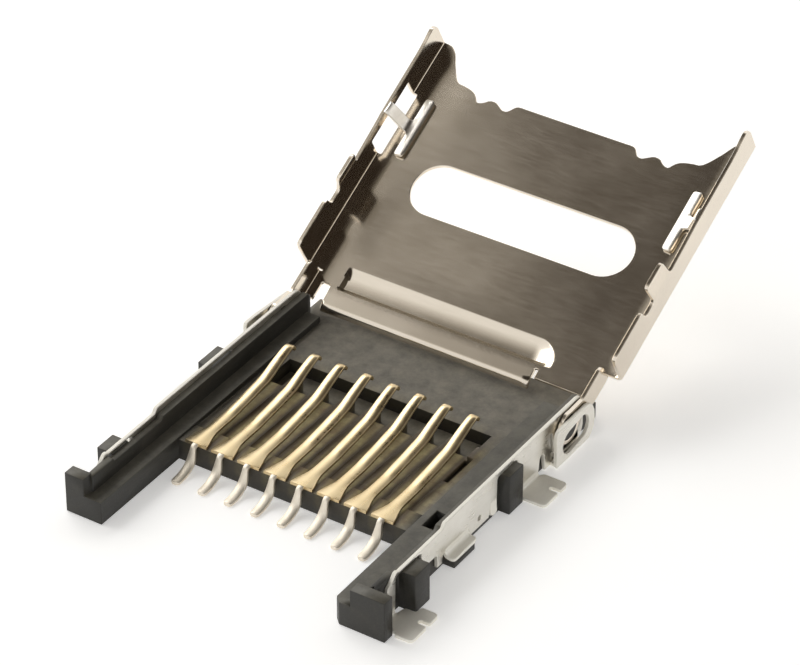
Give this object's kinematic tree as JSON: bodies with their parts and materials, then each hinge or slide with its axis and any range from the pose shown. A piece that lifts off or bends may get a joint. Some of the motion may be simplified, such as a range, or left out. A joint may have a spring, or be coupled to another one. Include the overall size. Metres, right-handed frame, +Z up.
{
  "type": "memory card connector",
  "caption": "Hinged memory card connector: U-shaped black housing, row of gold spring contacts, side brackets with solder pads and a folded metal cover that swings shut.",
  "frame": {"origin": "on the underside of the housing, which is the board plane, midway across the two arms and 7.4 mm behind their front faces", "axes": "+X towards the right arm, +Y from the front of the arms to the hinge, +Z up from the board"},
  "size_m": [0.0146, 0.024, 0.0076],
  "materials": {
    "plastic": "matte moulded",
    "contact_sheet": "gold plated",
    "bracket_sheet": "tin plated, satin",
    "cover_sheet": "satin, rolled grain"
  },
  "bodies": {
    "base": {"housing": "plastic", "contact_1": "contact_sheet", "contact_2": "contact_sheet", "contact_3": "contact_sheet", "contact_4": "contact_sheet", "contact_5": "contact_sheet", "contact_6": "contact_sheet", "contact_7": "contact_sheet", "contact_8": "contact_sheet", "left_bracket": "bracket_sheet", "right_bracket": "bracket_sheet"},
    "lid": {"cover": "cover_sheet"}
  },
  "joints": [
    {"name": "cover_hinge", "type": "hinge", "parent": "base", "child": "lid", "pos_m": [0, 0.00475, 0.00118], "axis": [1, 0, 0], "range_deg": [0, 152]}
  ]
}
